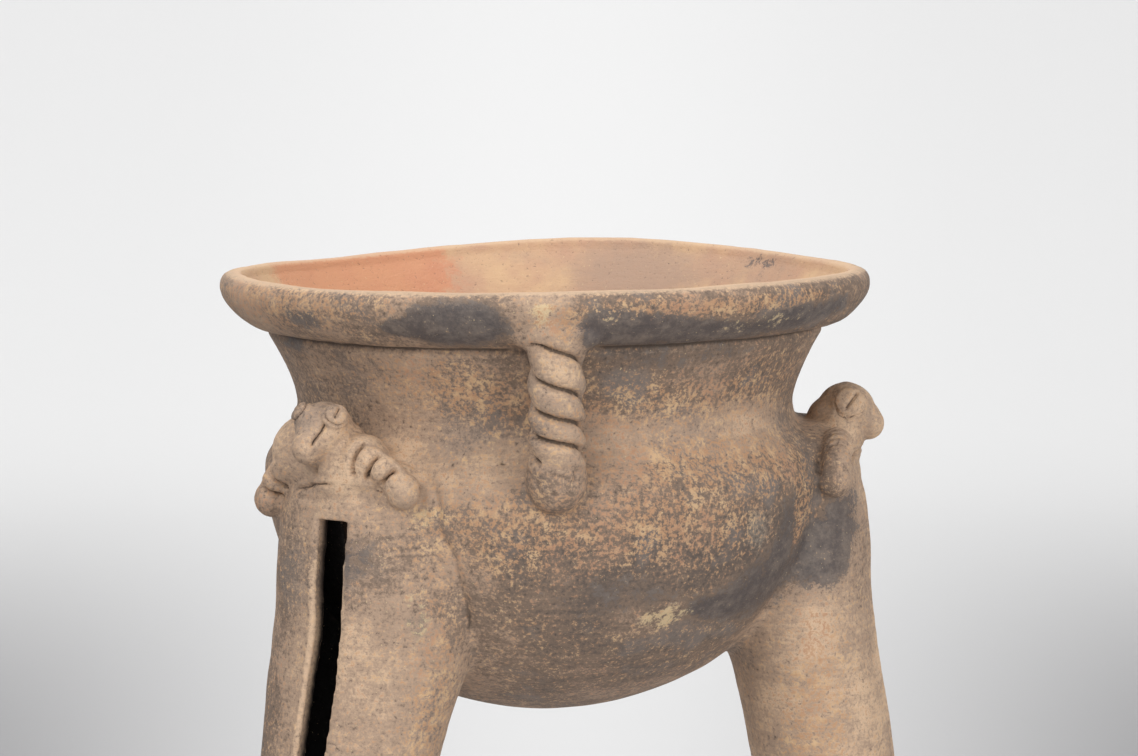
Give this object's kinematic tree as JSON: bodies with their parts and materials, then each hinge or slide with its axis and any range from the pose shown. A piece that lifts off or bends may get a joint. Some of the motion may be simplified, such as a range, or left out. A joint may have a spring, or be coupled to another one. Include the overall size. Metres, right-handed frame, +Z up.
{
  "type": "tripod rattle vessel",
  "caption": "Hand-built fired clay bowl with a rolled rim and twisted loop handles, on tall hollow slit legs, each topped by a small animal figure.",
  "frame": {"origin": "on the ground, under the centre of the vessel's bounding box", "axes": "+Z up along the vessel's height; -Y is the front, with a handle at the middle; +X is the right, where one leg stands"},
  "size_m": [0.218, 0.201, 0.3101],
  "materials": {
    "fired_clay": "matt burnished earthenware with worn dark and orange slip"
  },
  "bodies": {
    "root": {"vessel": "fired_clay"}
  },
  "joints": []
}
